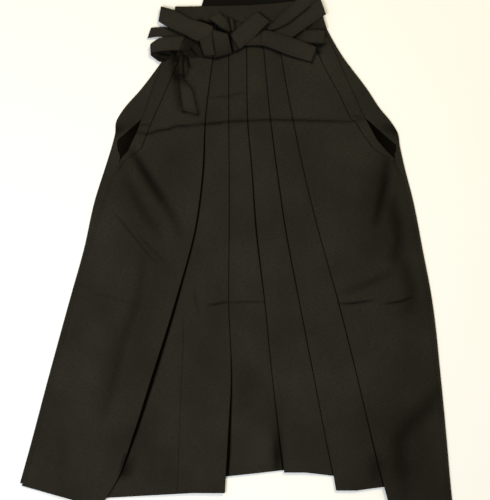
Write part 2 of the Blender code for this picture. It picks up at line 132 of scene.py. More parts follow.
# How wide the shade painted in the mouth of each pleat is.
mouthRows = rowsOf("drop first second third fourth fifth", [
    (40, 0.5, 0.3, 0.4, 0.4, 0.3),
    (160, 0.8, 0.4, 0.6, 0.6, 0.4),
    (230, 1.2, 0.6, 0.8, 0.8, 0.6),
    (300, 3.0, 0.3, 1.2, 1.2, 0.5),
    (440, 3.2, 0.6, 2.4, 1.4, 0.6),
    (530, 3.6, 0.3, 1.8, 1.2, 0.5),
    (590, 5.4, 0.3, 0.9, 0.8, 1.0),
    (700, 7.4, 0.8, 0.6, 1.0, 0.8),
    (750, 8.0, 2.0, 0.5, 0.6, 0.6),
    (850, 6.6, 5.6, 1.2, 0.6, 1.0),
    (910, 2.2, 7.6, 2.2, 0.8, 1.2),
    (950, 0.8, 7.0, 3.0, 0.9, 1.4),
    (1014, 0.4, 5.0, 2.4, 0.8, 1.2),
])

# The front's outer edges: free beside the slits, then sewn to the back. Level counts cloth layers.
sideRows = rowsOf("drop left right level", [
    (40, -122, 173, 2),
    (98, -143, 201, 2),
    (140, -158, 219, 2),
    (180, -173, 238, 2),
    (212, -184, 251, 2),
    (230, -191, 262, 2),
    (250, -198, 273, 1.6),
    (268, -207, 283, 1.2),
    (290, -217, 302, 1),
    (305, -231, 318, 1),
    (320, -235, 324, 1),
    (345, -251, 335, 1),
    (386, -265, 347, 1),
    (430, -280, 357, 1),
    (500, -303, 371, 1),
    (577, -325, 386, 1),
    (752, -373, 406, 1),
    (880, -407, 418, 1),
    (960, -429, 425, 1),
    (998, -439, 429, 1),
])

# The sewn line of each slit's facing, which meets the side seam at the slit's foot.
facingRows = {
    "left": rowsOf("drop across", [
        (40, -86),
        (136, -126),
        (188, -149),
        (241, -173),
        (256, -178),
        (286, -190),
        (298, -207),
        (316, -232),
    ]),
    "right": rowsOf("drop across", [
        (40, 140),
        (123, 177),
        (179, 208),
        (223, 228),
        (235, 241),
        (258, 255),
        (283, 273),
        (301, 297),
        (306, 315),
    ]),
}

# The inner edge of the cloth that the back turns over.
turnRows = rowsOf("drop left right", [
    (3, -50, 144),
    (98, -112, 176),
    (140, -138, 200),
    (180, -158, 222),
    (212, -174, 240),
    (230, -194, 267),
    (250, -217, 289),
    (268, -238, 309),
    (278, -238, 321),
    (305, -235, 320),
])

hems = {
    "leftSide": 960.0,
    "firstFlat": 988.0,
    "firstFold": 1006.0,
    "firstTuck": 984.0,
    "secondFold": 974.0,
    "secondTuck": 945.0,
    "middle": 941.0,
    "thirdFold": 933.0,
    "fourthTuck": 940.0,
    "fourthFold": 969.0,
    "fifthTuck": 962.0,
    "fifthFlat": 1007.0,
    "fifthFold": 1014.0,
    "rightSide": 998.0,
}
backHemRows = rowsOf("across drop", [
    (-431, 955),
    (-250, 962),
    (-120, 950),
    (0, 925),
    (120, 920),
    (220, 940),
    (330, 968),
    (431, 992),
])
bandRows = rowsOf("across drop", [
    (-122, 1),
    (-30, 0),
    (38, -2),
    (119, -9.5),
    (165, -15),
])

# Soft folds that the legs keep, each a low rounded ridge from one place to another.
swells = rowsOf("across drop height reach", [
    ((-222, -150), (318, 500), 4.0, 22),
    ((-180, -118), (300, 430), 3.0, 18),
    ((-245, -165), (455, 530), 2.5, 14),
    ((-210, -262), (560, 840), 4.0, 26),
    ((290, 268), (330, 470), 4.0, 22),
    ((352, 330), (470, 620), 3.0, 20),
    ((395, 322), (730, 900), 4.5, 26),
])

# Pressed creases from storage and handling, drawn as places along each one. Rise is the crease's height,
# above and below are how far it fades on its two sides, and dark is how much shade is painted along its
# line.
creases = rowsOf("path rise above below dark", [
    (
        [(-200, 252), (-178, 256), (-155, 249), (-134, 246), (-119, 240), (-102, 240), (-64, 236)],
        1.7, 16, 4.0, 0.86,
    ),
    ([(-196, 239), (-182, 237), (-168, 238)], 0.8, 5, 2.4, 0.5),
    ([(-66, 236), (-38, 234), (-14, 231)], 1.8, 14, 4.4, 0.9),
    ([(-14, 230), (8, 229), (24, 228)], 0.4, 6, 4.0, 0.55),
    (
        [(-14, 231), (24, 230), (68, 227), (112, 228), (188, 230), (228, 231), (258, 225)],
        1.4, 15, 4.2, 0.72,
    ),
    ([(231, 220), (251, 221)], 1.0, 6, 2.4, 0.6),
    ([(-56, 598), (-37, 595), (-17, 591)], 1.4, 10, 2.6, 0.85),
    ([(-15, 593), (20, 591), (58, 592)], 1.0, 10, 2.4, 0.5),
    ([(205, 595), (234, 594), (276, 588)], 1.4, 10, 2.8, 0.85),
    ([(298, 595), (330, 590), (353, 581)], 1.2, 12, 2.8, 0.85),
    ([(-84, 556), (-82, 584), (-74, 612)], 0.5, 4.0, 3.0, 0.36),
    ([(-317, 553), (-278, 576), (-246, 582), (-210, 596), (-150, 604)], 0.6, 14, 4.0, 0.15),
    ([(-52, 184), (-14, 180), (16, 172)], 0.9, 10, 3.4, 0.42),
    ([(-242, 416), (-216, 447), (-190, 478), (-162, 510)], 1.3, 9, 3.2, 0.44),
    ([(-196, 456), (-170, 484), (-140, 514)], 1.2, 8, 3.0, 0.36),
])

# Soft hollows between folds, with how deep each is, how far it reaches, and how high the cloth stands
# beside it: before is the side on the left as the path runs, after the side on its right. Dark is how much
# shade is painted into the hollow.
hollows = rowsOf("path depth reach before after dark", [
    ([(-208, 292), (-196, 310), (-181, 336), (-164, 362), (-150, 384)], 1.6, 10, 2.0, 3.4, 0.74),
    ([(-158, 372), (-140, 398), (-122, 430), (-112, 456)], 1.2, 9, 1.4, 2.6, 0.4),
    ([(-218, 350), (-200, 388), (-176, 424), (-156, 456)], 0.8, 11, 0.8, 1.0, 0.34),
    ([(-184, 496), (-200, 599), (-227, 670), (-242, 742), (-266, 824)], 1.4, 10, 3.4, 0.6, 0.24),
    ([(-236, 640), (-254, 730), (-276, 826)], 0.6, 20, 0.0, 0.6, 0.16),
    ([(301, 312), (296, 358), (279, 432)], 1.8, 10, 3.4, 2.4, 0.62),
    ([(312, 396), (322, 436), (325, 470), (316, 506)], 1.4, 12, 2.0, 1.4, 0.5),
    ([(326, 500), (340, 532), (350, 566), (347, 604)], 1.2, 14, 0.8, 1.8, 0.34),
    ([(218, 572), (262, 556), (312, 534)], 0.8, 9, 1.4, 1.0, 0.3),
    ([(402, 776), (378, 806), (346, 836), (324, 872), (326, 908), (332, 934)], 2.0, 19, 3.0, 2.4, 0.5),
    ([(328, 900), (330, 940), (338, 996)], 1.0, 18, 1.2, 1.0, 0.2),
])

# Broad patches of painted shade, with how far each reaches and how much of the cloth's colour it takes away.
patches = rowsOf("across drop wide long dark", [
    (352, 900, 90, 150, 0.31),
    (350, 640, 70, 190, 0.14),
    (300, 440, 60, 110, 0.2),
    (-170, 130, 70, 80, 0.16),
    (-190, 640, 40, 150, 0.1),
    (262, 880, 30, 90, 0.14),
    (83, 896, 10, 54, 0.84),
    (280, 926, 17, 30, 0.5),
    (-226, 330, 16, 60, 0.2),
    (-236, 905, 34, 60, 0.1),
    (-346, 884, 13, 44, 0.14),
    (-176, 884, 22, 52, 0.16),
    (20, 764, 26, 56, 0.15),
    (330, 500, 40, 100, 0.1),
    (-196, 410, 24, 50, 0.2),
    (284, 356, 32, 60, 0.24),
    (140, 500, 46, 150, 0.12),
    (-138, 370, 46, 60, 0.16),
    (-205, 880, 14, 50, 0.16),
])

# Painted shadow: where the ties lie on what is under them, the cloth is painted dark along their edges.
contacts = rowsOf("path reach dark on", [
    ([(-72, 30), (-44, 39), (-10, 56)], 4.4, 1.0, ("frontBandCloth", "tieKnotGather")),
    ([(-50, 39), (-36, 45), (-20, 50)], 7.0, 0.74, ("frontLeftCloth",)),
    ([(-13, 58), (-10, 76), (-7, 94)], 3.4, 1.0, ("tieKnotUnder", "tieRightLoop")),
    ([(112, 66), (138, 46), (150, 36)], 3.2, 0.95, ("tieRightEnd", "tieRightUnder")),
    ([(138, 77), (158, 79), (172, 79)], 4.0, 1.0, ("frontRightCloth",)),
    (
        [(-64, 103), (-39, 106), (-9, 96), (6, 89), (19, 81), (50, 81), (68, 86), (108, 101), (150, 113)],
        1.9, 0.95, ("frontLeftCloth", "frontRightCloth", "frontBandCloth"),
    ),
    (
        [(-128, 82), (-126, 98), (-123, 120), (-119, 144)],
        8.5, 0.72, ("frontLeftCloth", "tieHangingEnd"),
    ),
    ([(-124, 92), (-121, 100), (-117, 108)], 7.0, 0.8, ("frontLeftCloth",)),
    ([(-97, 98), (-93, 122)], 3.4, 0.7, ("frontLeftCloth", "tieHangingEnd")),
    ([(-219, 902), (-228, 936), (-232, 968)], 4.2, 0.75, ("frontLeftCloth",)),
    ([(-112, 138), (-100, 146), (-90, 160)], 3.0, 0.5, ("tieHangingEnd",)),
    ([(-103, 92), (-106, 118), (-104, 140)], 2.2, 0.85, ("tieHangingEnd",)),
    ([(-98, 60), (-108, 76), (-112, 90)], 1.6, 0.6, ("tieLeftLoop",)),
    ([(-154, 96), (-140, 98), (-134, 99)], 2.8, 0.96, ("tieLeftLoop",)),
    ([(-160, 101), (-148, 106), (-140, 108)], 1.8, 0.6, ("tieLeftLoop",)),
    ([(-120, 93), (-117, 97), (-115, 101)], 2.4, 0.9, ("tieHangingEnd", "frontLeftCloth")),
    ([(-102, 205), (-80, 211)], 0.9, 0.4, ("tieHangingEnd",)),
    ([(-122, 136), (-118, 172), (-112, 204)], 8.0, 0.4, ("frontLeftCloth",)),
    ([(-114, 152), (-112, 186), (-105, 212)], 2.4, 0.5, ("frontLeftCloth",)),
    ([(-101, 150), (-87, 168), (-81, 192), (-75, 216)], 3.6, 0.6, ("frontLeftCloth",)),
    ([(-104, 212), (-78, 218)], 3.0, 0.7, ("frontLeftCloth",)),
    ([(-138, 45), (-107, 60), (-79, 74)], 2.6, 0.6, ("tieLeftEnd", "tieLeftLoop")),
    ([(-100, 74), (-80, 98)], 3.0, 0.7, ("tieShadedFold", "frontLeftCloth")),
    ([(-62, 98), (-66, 84), (-78, 72)], 4.0, 0.8, ("tieShadedFold",)),
    ([(58, 49), (73, 52), (104, 38), (148, 3)], 1.8, 0.75, ("tieRightLower",)),
    ([(70, 32), (62, 42), (40, 60)], 3.2, 0.8, ("tieRightUpper", "tieFreeEnd")),
    ([(68, 30), (48, 14)], 2.4, 0.4, ("frontBandCloth",)),
    ([(50, 54), (49, 80)], 1.6, 0.35, ("tieFreeEnd",)),
    ([(164, 84), (152, 114)], 2.6, 0.7, ("frontRightCloth",)),
    ([(160, 78), (167, 84), (164, 94)], 4.0, 0.9, ("frontRightCloth",)),
    ([(180, 48), (179, 76)], 3.0, 0.7, ("frontRightCloth",)),
    ([(-150, 66), (-120, 62)], 3.0, 0.5, ("tieLeftEnd",)),
    ([(-150, 94), (-112, 91)], 2.4, 0.8, ("frontBandCloth", "tieHangingEnd")),
])


def smoothColumn(rows, key, column):
    # A smooth curve through one column of a table, read at any value of the key.
    keys = np.array([row[key] for row in rows], float)
    values = np.array([row[column] for row in rows], float)
    slopes = np.gradient(values, keys)

    def read(at):
        spot = int(np.clip(np.searchsorted(keys, at) - 1, 0, len(keys) - 2))
        span = keys[spot + 1] - keys[spot]
        t = min(max((at - keys[spot]) / span, 0.0), 1.0)
        start = (2 * t**3 - 3 * t**2 + 1) * values[spot] + (t**3 - 2 * t**2 + t) * span * slopes[spot]
        end = (3 * t**2 - 2 * t**3) * values[spot + 1] + (t**3 - t**2) * span * slopes[spot + 1]
        return start + end

    return read


def straightColumn(rows, key, column):
    # The same column read along straight lines, which keeps the corners of the slits.
    keys = [row[key] for row in rows]
    values = [row[column] for row in rows]
    return lambda at: float(np.interp(at, keys, values))


foldNames = ("first", "second", "third", "fourth", "fifth")
fold = {name: smoothColumn(pleatRows, "drop", name) for name in foldNames}
mouth = {name: straightColumn(mouthRows, "drop", name) for name in foldNames}
lift = smoothColumn(pleatRows, "drop", "lift")
outline = {side: smoothColumn(outlineRows, "drop", side) for side in ("left", "right")}
frontSide = {side: straightColumn(sideRows, "drop", side) for side in ("left", "right")}
sideLevel = straightColumn(sideRows, "drop", "level")
facing = {side: straightColumn(facingRows[side], "drop", "across") for side in ("left", "right")}
slitTurn = {side: straightColumn(turnRows, "drop", side) for side in ("left", "right")}
bandTop = smoothColumn(bandRows, "across", "drop")
backHem = smoothColumn(backHemRows, "across", "drop")


def ramp(value, start, end):
    # 0 up to the start, 1 past the end, straight between them.
    return np.clip((value - start) / (end - start), 0.0, 1.0)


def bell(away, reach):
    # 1 on a line, falling softly to nothing about twice its reach away.
    return np.exp(-((away / reach) ** 2))


def taper(share, ends, power):
    # 1 in the middle of a drawn path, falling to a little at its two ends.
    return np.sin(math.pi * (ends + (1.0 - 2.0 * ends) * share)) ** power


def rowDrops():
    drops = []
    for band in rowBands:
        count = round((band["to"] - band["from"]) / band["step"])
        drops += list(np.linspace(band["from"], band["to"], count, endpoint=False))
    return drops + [rowBands[-1]["to"]]


def seat(across):
    # How much higher the front lies where the two backs lap in the middle.
    return garment["layer"] * (1.0 - ramp(np.abs(across), garment["seatFlat"], garment["seatEnd"]))


def alongPath(path, across, drop):
    # For each place: how far it is from a drawn path, on which side, and how far along the path it lies.
    nearest = np.full(across.shape, np.inf)
    side = np.ones(across.shape)
    share = np.zeros(across.shape)
    stops = np.array(path, float)
    lengths = np.linalg.norm(np.diff(stops, axis=0), axis=1)
    before = np.concatenate([[0.0], np.cumsum(lengths)])
    for index, length in enumerate(lengths):
        run = (stops[index + 1] - stops[index]) / length
        offX = across - stops[index][0]
        offY = drop - stops[index][1]
        t = np.clip(offX * run[0] + offY * run[1], 0.0, length)
        away = np.hypot(offX - t * run[0], offY - t * run[1])
        closer = away < nearest
        nearest = np.where(closer, away, nearest)
        side = np.where(closer, np.sign(run[0] * offY - run[1] * offX), side)
        share = np.where(closer, (before[index] + t) / before[-1], share)
    return nearest, side, share


swellShape = {"ends": 0.12, "power": 1.0}
# Each crease has painted shade: a thin dark line in its middle, and weaker shade on its upper side.
creaseShape = {"ends": 0.06, "power": 0.5, "core": 1.6, "coreShare": 0.4, "upperShade": 0.66}
hollowShape = {"ends": 0.08, "power": 0.45, "shoulderAt": 2.0}


def swellHeight(across, drop):
    total = np.zeros(across.shape)
    for swell in swells:
        path = list(zip(swell["across"], swell["drop"]))
        away, _, share = alongPath(path, across, drop)
        total += swell["height"] * taper(share, **swellShape) * bell(away, swell["reach"])
    return total


def creaseMarks(across, drop):
    # The creases' height and how much of the cloth's colour their painted shade leaves at each place.
    rise = np.zeros(across.shape)
    paintedLight = np.ones(across.shape)
    coreShare = creaseShape["coreShare"]
    for crease in creases:
        away, side, share = alongPath(crease["path"], across, drop)
        strength = taper(share, creaseShape["ends"], creaseShape["power"])
        rise += crease["rise"] * strength * bell(away, np.where(side > 0, crease["below"], crease["above"]))
        soft = bell(away, crease["below"]) * np.where(side > 0, 1.0, creaseShape["upperShade"])
        line = coreShare * bell(away, creaseShape["core"]) + (1.0 - coreShare) * soft
        paintedLight *= 1.0 - crease["dark"] * strength * line
    return rise, paintedLight


def shadeContacts(points, name):
    # Paints shadow into one piece's points where a tie lies on it.
    for contact in contacts:
        if name in contact["on"]:
            away, _, _ = alongPath(contact["path"], points[..., 0], points[..., 1])
            points[..., 3] *= 1.0 - contact["dark"] * bell(away, contact["reach"])


def hollowMarks(across, drop):
    # The hollows' height, and how much of the cloth's colour is left under the shade painted in them and in
    # the broad patches.
    rise = np.zeros(across.shape)
    paintedLight = np.ones(across.shape)
    for hollow in hollows:
        away, side, share = alongPath(hollow["path"], across, drop)
        strength = taper(share, hollowShape["ends"], hollowShape["power"])
        inside = strength * bell(away, hollow["reach"])
        shoulder = np.where(side > 0, hollow["after"], hollow["before"]) * strength
        rise -= hollow["depth"] * inside
        rise += shoulder * bell(away - hollowShape["shoulderAt"] * hollow["reach"], hollow["reach"])
        paintedLight *= 1.0 - hollow["dark"] * inside
    for patch in patches:
        spread = bell(across - patch["across"], patch["wide"]) * bell(drop - patch["drop"], patch["long"])
        paintedLight *= 1.0 - patch["dark"] * spread
    return rise, paintedLight


# Cloth never lies quite flat: long shallow waves, with their run in mm across and down, their start and
# their share. They begin below the bow and stay above the layer beneath.
waves = rowsOf("across down start share", [
    (31, 83, 0.0, 1.0),
    (-59, 47, 1.3, 1.0),
    (17, -29, 0.4, 0.7),
    (73, 21, 2.1, 0.7),
])
waveShape = {"height": 0.17, "from": 110, "to": 180}


def unevenness(across, drop):
    total = np.zeros(across.shape)
    for wave in waves:
        turned = across / wave["across"] + drop / wave["down"] + wave["start"]
        total += wave["share"] * (1.0 + np.sin(turned))
    return waveShape["height"] * total * ramp(drop, waveShape["from"], waveShape["to"])


def settle(nominal, top, hem):
    # The drop of a point whose section starts at its own top and ends at its own hem.
    if nominal < garment["fanTop"]:
        share = (nominal - garment["topDrop"]) / (garment["fanTop"] - garment["topDrop"])
        return top + share * (garment["fanTop"] - top)
    if nominal > garment["fanHem"]:
        share = (nominal - garment["fanHem"]) / (garment["endDrop"] - garment["fanHem"])
        return garment["fanHem"] + share * (hem - garment["fanHem"])
    return float(nominal)


bandShape = {
    "width": 36.0, "height": 4.8, "thick": 2.6, "edge": 0.86, "paintedLight": 0.92,
    "rows": 21, "columns": 121,
}
pleatShape = {
    "share": 0.38, "most": 60.0, "rise": 4.0,
    "foldSteps": 8, "overSteps": 7, "underSteps": 3, "panelSteps": {"left": 12, "right": 10},
}
# The cloth in a pleat's mouth is painted in full shade up to this share of it, and the painted shade ends a
# little past its edge.
mouthShape = {"shaded": 0.7, "edge": 1.6, "closedTone": 0.4, "steps": [3, 2, 2]}
# The seam that shows in the lower part of the middle panel, a shallow groove with painted shade along it.
seamShape = {
    "half": 1.6, "depth": 0.4, "paintedLight": 0.55, "clear": 5.0, "from": 590, "to": 650,
    "steps": [4, 1, 1],
}
seamRows = rowsOf("drop across", [
    (585, -106),
    (678, -106),
    (820, -112),
    (964, -118),
])
seamAcross = straightColumn(seamRows, "drop", "across")


def knot(nominal, column, level, hem, offset=0.0, raised=0.0, paintedLight=1.0):
    # One place across a front section: across, drop, height, and how much of the cloth's colour is left
    # under painted shade.
    top = bandTop(column(garment["topDrop"]) + offset) + bandShape["width"] + garment["gap"]
    drop = settle(nominal, top, hem)
    height = garment["cloth"] / 2 + garment["layer"] * level + raised
    return np.array((column(drop) + offset, drop, height, paintedLight))


def run(stops, counts):
    # Points along straight stretches between stops, without the last stop.
    points = []
    for start, end, count in zip(stops, stops[1:], counts):
        points += [start + (end - start) * step / count for step in range(count)]
    return points


def turn(start, end, way, steps):
    # Points round a fold, from the upper layer to the lower one. Way is +1 where it bulges to the right.
    middle = (start + end) / 2
    half = (start[2] - end[2]) / 2
    points = []
    for step in range(steps):
        angle = math.pi * step / steps
        point = middle + np.array((way * abs(half) * math.sin(angle), 0.0, half * math.cos(angle), 0.0))
        point[3] = start[3] + (end[3] - start[3]) * step / steps
        points.append(point)
    return points


def tuckDepth(nominal, outer, inner):
    return min(pleatShape["share"] * abs(outer(nominal) - inner(nominal)), pleatShape["most"])


def pleat(nominal, name, depth, way, hemNames, raised):
    # From the flat part of a pleat, round its fold, back under it and round its hidden fold. The layers
    # under the fold are painted in shade.
    bulge = way * foldBulge
    column = fold[name]
    flatHem, foldHem, tuckHem = [hems[hemName] for hemName in hemNames]
    overStart = knot(nominal, column, 3, flatHem, -way * (depth + pleatShape["rise"]))
    overEnd = knot(nominal, column, 3, foldHem, -bulge, raised)
    underStart = knot(nominal, column, 2, foldHem, -bulge, raised, 0.0)
    underEnd = knot(nominal, column, 2, tuckHem, -way * depth + bulge, 0.0, 0.0)
    hiddenStart = knot(nominal, column, 1, tuckHem, -way * depth + bulge, 0.0, 0.0)
    steps = pleatShape["foldSteps"]
    points = run([overStart, overEnd], [pleatShape["overSteps"]])
    points += turn(overEnd, underStart, way, steps)
    points += run([underStart, underEnd], [pleatShape["underSteps"]])
    points += turn(underEnd, hiddenStart, -way, steps)
    return points, hiddenStart


def emerge(nominal, name, way, hem, hidden, panelEnd, seamAt=None):
    # The next panel, from the hidden fold out of the pleat's mouth to where the panel's own pleat begins.
    count = pleatShape["panelSteps"]["left" if way > 0 else "right"]
    column = fold[name]
    opening = mouth[name](nominal)
    base = knot(nominal, column, 1, hem, way * pleatShape["rise"] / 2, 0.0, 0.0)

    def between(offset, paintedLight):
        place = knot(nominal, column, 1, hem, way * offset, 0.0, paintedLight)
        share = (place[0] - base[0]) / (panelEnd[0] - base[0])
        place[2] = base[2] + max(share, 0.0) * (panelEnd[2] - base[2])
        place[1] = base[1] + max(share, 0.0) * (panelEnd[1] - base[1])
        return place

    # The mouth is painted in shade, less deep where the pleat is nearly closed.
    closed = mouthShape["closedTone"] * max(0.0, 1.0 - opening)
    stops = [hidden, between(0.0, 0.0), between(opening * mouthShape["shaded"], closed)]
    stops.append(between(opening + mouthShape["edge"], 1.0))
    if seamAt is None:
        return run(stops + [panelEnd], mouthShape["steps"] + [count])
    reach = max(way * (seamAt - column(stops[1][1])), opening + seamShape["clear"])
    shown = float(ramp(nominal, seamShape["from"], seamShape["to"]))
    groove = between(reach, 1.0 - (1.0 - seamShape["paintedLight"]) * shown)
    groove[2] -= seamShape["depth"] * shown
    stops += [between(reach - seamShape["half"], 1.0), groove, between(reach + seamShape["half"], 1.0)]
    return run(stops + [panelEnd], mouthShape["steps"] + seamShape["steps"] + [count])


# The sewn line that holds a slit's facing, a shallow groove with painted shade, and below it the side seam,
# where the line is fainter.
facingShape = {
    "least": 5.2, "half": 2.0, "depth": 0.7, "paintedLight": 0.1,
    "fadeFrom": 300, "fadeTo": 340, "fade": 0.75,
}
# The outer panel's edge rolls under and has painted shade, darker beside the slit than at the side seam.
edgeShape = {
    "roll": 1.8, "slitTone": 0.3, "seamTone": 0.75, "from": 310, "to": 360,
    "steps": [1, 3, 2, 2, 60],
}


def outerPanel(nominal, side, hem, innerEnd):
    # The wide panel at the leg's side: its edge, the facing's sewn line, and the flat cloth inside.
    way = 1 if side == "left" else -1
    edge = knot(nominal, frontSide[side], sideLevel(nominal), hem)
    inset = facingShape["least"]
    if nominal < facingRows[side][-1]["drop"]:
        inset = max(way * (facing[side](nominal) - frontSide[side](nominal)), inset)
    sewn = float(1.0 - facingShape["fade"] * ramp(nominal, facingShape["fadeFrom"], facingShape["fadeTo"]))
    width = innerEnd[0] - edge[0]
    rolled = edge + (innerEnd - edge) * abs(edgeShape["roll"] / width)
    beside = float(ramp(nominal, edgeShape["from"], edgeShape["to"]))
    edge[3] = edgeShape["slitTone"] + (edgeShape["seamTone"] - edgeShape["slitTone"]) * beside
    stops = [edge, rolled]
    for offset in (-facingShape["half"], 0.0, facingShape["half"]):
        place = edge + (innerEnd - edge) * way * (inset + offset) / width
        place[3] = 1.0
        if offset == 0.0:
            place[2] -= facingShape["depth"] * sewn
            place[3] = 1.0 - (1.0 - facingShape["paintedLight"]) * sewn
        stops.append(place)
    stops.append(innerEnd)
    return run(stops, edgeShape["steps"])


# The middle strip runs on under the third pleat, for this share of the pleat's depth.
middleShape = {"under": 0.8, "steps": [2, 4]}


def frontLeftSection(nominal):
    depthOne = tuckDepth(nominal, frontSide["left"], fold["first"])
    depthTwo = tuckDepth(nominal, fold["first"], fold["second"])
    firstHems = ("firstFlat", "firstFold", "firstTuck")
    secondHems = ("secondFold", "secondFold", "secondTuck")
    first, hiddenOne = pleat(nominal, "first", depthOne, 1, firstHems, lift(nominal))
    second, hiddenTwo = pleat(nominal, "second", depthTwo, 1, secondHems, 0.0)
    points = outerPanel(nominal, "left", hems["leftSide"], first[0]) + first
    points += emerge(nominal, "first", 1, hems["firstTuck"], hiddenOne, second[0], seamAcross(nominal))
    points += second
    depthThree = tuckDepth(nominal, fold["fourth"], fold["third"])
    third, hem = fold["third"], hems["thirdFold"] - pleatShape["rise"]
    opening = mouth["third"](nominal)
    # The third pleat's mouth and the strip under it are painted in shade.
    shown = knot(nominal, third, 1, hem, -opening - mouthShape["edge"])
    shaded = knot(nominal, third, 1, hem, -opening * mouthShape["shaded"], 0.0, 0.0)
    end = knot(nominal, third, 1, hem, middleShape["under"] * depthThree, 0.0, 0.0)
    points += emerge(nominal, "second", 1, hems["middle"], hiddenTwo, shown)
    return points + run([shown, shaded, end], middleShape["steps"]) + [end]


def frontRightSection(nominal):
    depthFive = tuckDepth(nominal, frontSide["right"], fold["fifth"])
    depthFour = tuckDepth(nominal, fold["fifth"], fold["fourth"])
    depthThree = tuckDepth(nominal, fold["fourth"], fold["third"])
    fifthHems = ("fifthFlat", "fifthFold", "fifthTuck")
    fourthHems = ("fourthFold", "fourthFold", "fourthTuck")
    fifth, hiddenFive = pleat(nominal, "fifth", depthFive, -1, fifthHems, 0.0)
    fourth, hiddenFour = pleat(nominal, "fourth", depthFour, -1, fourthHems, 0.0)
    points = outerPanel(nominal, "right", hems["rightSide"], fifth[0]) + fifth
    points += emerge(nominal, "fifth", -1, hems["fifthTuck"], hiddenFive, fourth[0])
    points += fourth
    third = fold["third"]
    hem = hems["thirdFold"]
    flatStart = knot(nominal, third, 3, hem, depthThree + pleatShape["rise"])
    overEnd = knot(nominal, third, 3, hem, foldBulge)
    # The layer under the third fold is painted in shade.
    underStart = knot(nominal, third, 2, hem, foldBulge, 0.0, 0.0)
    underEnd = knot(nominal, third, 2, hem - pleatShape["rise"], depthThree, 0.0, 0.0)
    points += emerge(nominal, "fourth", -1, hems["fourthTuck"], hiddenFour, flatStart)
    points += run([flatStart, overEnd], [pleatShape["overSteps"]])
    points += turn(overEnd, underStart, -1, pleatShape["foldSteps"])
    return points + run([underStart, underEnd], [pleatShape["underSteps"]]) + [underEnd]


# How far from the pleats and from the side edge the soft forms reach their full height.
dressShape = {"besidePleats": 14.0, "besideEdge": 12.0}


def dressFront(points, innerColumns):
    # Adds the soft folds, the creases and the seat's rise to a front's sections, and the shade painted in
    # the creases, hollows and patches.
    across, drop = points[..., 0], points[..., 1]
    share = (across - across[:, :1]) / (across[:, innerColumns : innerColumns + 1] - across[:, :1])
    share = np.where(np.arange(points.shape[1]) <= innerColumns, np.clip(share, 0.0, 1.0), 0.0)
    rise, paintedLight = creaseMarks(across, drop)
    sink, shade = hollowMarks(across, drop)
    room = np.maximum(points[..., 2] - garment["cloth"] / 2 - garment["layer"], 0.0)
    inward = np.abs(across - across[:, innerColumns : innerColumns + 1])
    room *= ramp(inward, 0.0, dressShape["besidePleats"])
    room[:, innerColumns:] = 0.0
    sink = np.maximum(sink, -room)
    points[..., 2] += np.sqrt(np.clip(np.sin(math.pi * share), 0.0, 1.0)) * swellHeight(across, drop)
    full = ramp(np.abs(across - across[:, :1]), 0.0, dressShape["besideEdge"])
    points[..., 2] += (rise + sink + unevenness(across, drop)) * full + seat(across)
    points[..., 3] *= paintedLight * shade
    return points


backShape = {
    "lap": 20.0,
    "lapClear": 2.0,
    "lapRamp": 14.0,
    "lapUnder": 30.0,
    "seamFrom": 320.0,
    "seamBlend": 290.0,
    "start": 3.8,
    "hemEnd": 431.0,
    "shaded": 46.0,
    "foldTone": 0.2,
    "holeDrop": 248.0,
    "holeReach": 14.0,
    "holeShade": 0.75,
    "rim": 1.5,
    "rimTone": 0.8,
    "turnedColumns": 15,
    "steps": {"lap": 2, "under": 12, "side": 6, "turned": 8},
}


def turnEdge(side, drop):
    # The inner edge of the cloth that the back turns over: free beside the slit, sewn to the front below.
    way = 1 if side == "left" else -1
    sewn = frontSide[side](drop) - way * garment["gap"]
    free = slitTurn[side](drop)
    return free + (sewn - free) * float(ramp(drop, backShape["seamBlend"], backShape["seamFrom"]))


def backSection(nominal, side):
    # From the back's lapped middle edge out to the side fold, round it and over to the side seam.
    way = -1 if side == "left" else 1
    lap, start, steps = backShape["lap"], backShape["start"], backShape["steps"]
    rampFrom = lap + backShape["lapClear"]
    rampTo = rampFrom + backShape["lapRamp"]
    sideEnd = settle(nominal, start, backHem(way * backShape["hemEnd"]))

    def place(across, level, paintedLight):
        drop = settle(nominal, start, backHem(across))
        onTop = 1.0 - float(ramp(across, rampFrom, rampTo)) if side == "right" else 0.0
        height = garment["cloth"] / 2 + garment["layer"] * (level + onTop)
        return np.array((across, drop, height, paintedLight))

    sideX = outline[side](sideEnd) - way * foldBulge
    edgeX = turnEdge(side, sideEnd)
    first = [lap, lap - backShape["lapUnder"]] if side == "left" else [-lap, rampFrom, rampTo]
    # The back's lower layer is painted in full shade, as the hollow seen through the slits, lighter towards
    # the side fold.
    shaded = place(sideX - way * backShape["shaded"], 0, 0.0)
    stops = [place(stop, 0, 0.0) for stop in first] + [shaded, place(sideX, 0, backShape["foldTone"])]
    points = run(stops, [steps["lap"]] * (len(first) - 1) + [steps["under"], steps["side"]])
    for point in points:
        point[1] = settle(nominal, start, backHem(point[0]))
    # Beside the outline near the slit's foot, the turned cloth and its rim are painted in shade.
    beside = 1.0 - backShape["holeShade"] * bell(nominal - backShape["holeDrop"], backShape["holeReach"])
    upper = place(sideX, 1, beside)
    points += turn(stops[-1], upper, way, pleatShape["foldSteps"])
    rimTone = backShape["rimTone"] + (1.0 - backShape["rimTone"]) * beside
    rim = place(edgeX + way * backShape["rim"], 1, rimTone)
    end = place(edgeX, 1, 1.0)
    rim[1] = end[1] = upper[1]
    return points + run([upper, rim, end], [steps["turned"], 1]) + [end]


# Finishes. Colours are sRGB hex values, and pattern sizes are real ones in millimetres.
def hexColour(code):
    channels = [int(code[i : i + 2], 16) / 255 for i in (1, 3, 5)]
    linear = [c / 12.92 if c <= 0.04045 else ((c + 0.055) / 1.055) ** 2.4 for c in channels]
    return (*linear, 1.0)


